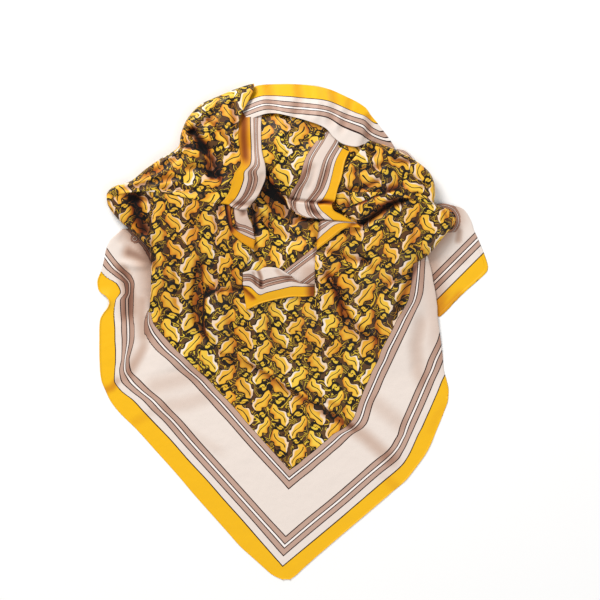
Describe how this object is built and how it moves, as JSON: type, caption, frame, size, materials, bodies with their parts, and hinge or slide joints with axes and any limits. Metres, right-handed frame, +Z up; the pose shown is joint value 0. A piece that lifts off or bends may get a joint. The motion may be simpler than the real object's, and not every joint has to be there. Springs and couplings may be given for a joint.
{
  "type": "silk square scarf",
  "caption": "Large silk square with a wide striped border, dropped in a loose heap with one corner spread flat on the floor.",
  "frame": {"origin": "middle of the heap's footprint, on the floor", "axes": "+Z up from the floor, -Y towards the tip of the spread corner, +X to the right seen from the tip"},
  "size_m": [0.5825, 0.7431, 0.0408],
  "materials": {
    "gold_print": "printed silk twill, satin sheen",
    "blush_border": "printed silk twill, satin sheen",
    "amber_hem": "printed silk twill, satin sheen",
    "taupe_stripe": "printed silk twill, satin sheen"
  },
  "bodies": {
    "root": {"front_corner": "blush_border", "front_panel": "gold_print", "left_border": "blush_border", "right_border": "blush_border", "right_corner": "blush_border", "left_pleats": "gold_print", "right_pleats": "gold_print", "left_shoulder": "gold_print", "right_shoulder": "gold_print", "back_border": "amber_hem", "inner_fold": "gold_print", "left_hem_fold": "amber_hem", "left_hem_curl": "blush_border", "right_hem_fold": "taupe_stripe", "right_hem_curl": "amber_hem", "centre_hem": "amber_hem", "hidden_layers": "taupe_stripe"}
  },
  "joints": []
}
